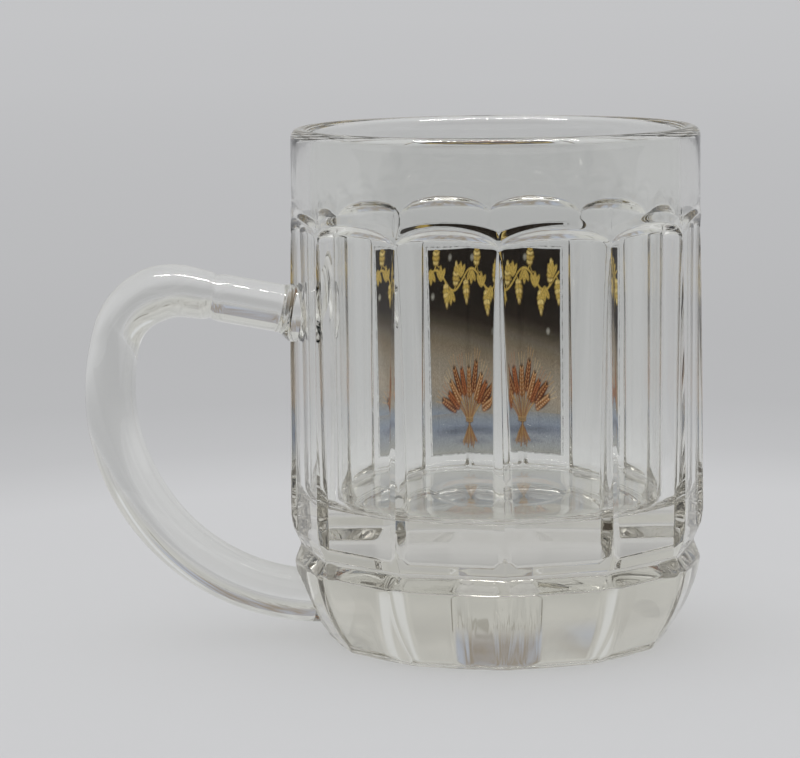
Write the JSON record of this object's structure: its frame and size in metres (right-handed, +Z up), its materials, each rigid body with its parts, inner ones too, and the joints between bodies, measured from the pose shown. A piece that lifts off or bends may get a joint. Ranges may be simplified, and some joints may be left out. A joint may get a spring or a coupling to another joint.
{
  "type": "beer mug",
  "caption": "Clear pressed glass beer mug with flat cut panels, thick foot, loop handle and a plain decorative print.",
  "frame": {"origin": "on the mug's axis, on the flat underside that it stands on", "axes": "+Z up along the mug's axis to the rim, -X towards the handle, +Y towards the printed panels"},
  "size_m": [0.1294, 0.0871, 0.107],
  "materials": {
    "clear_glass": "polished clear soda-lime glass, pressed and fire-polished",
    "print": "fired enamel print, satin"
  },
  "bodies": {
    "root": {"glass_body": "clear_glass", "handle_arm": "clear_glass", "handle_grip": "clear_glass", "printed_picture": "print"}
  },
  "joints": []
}
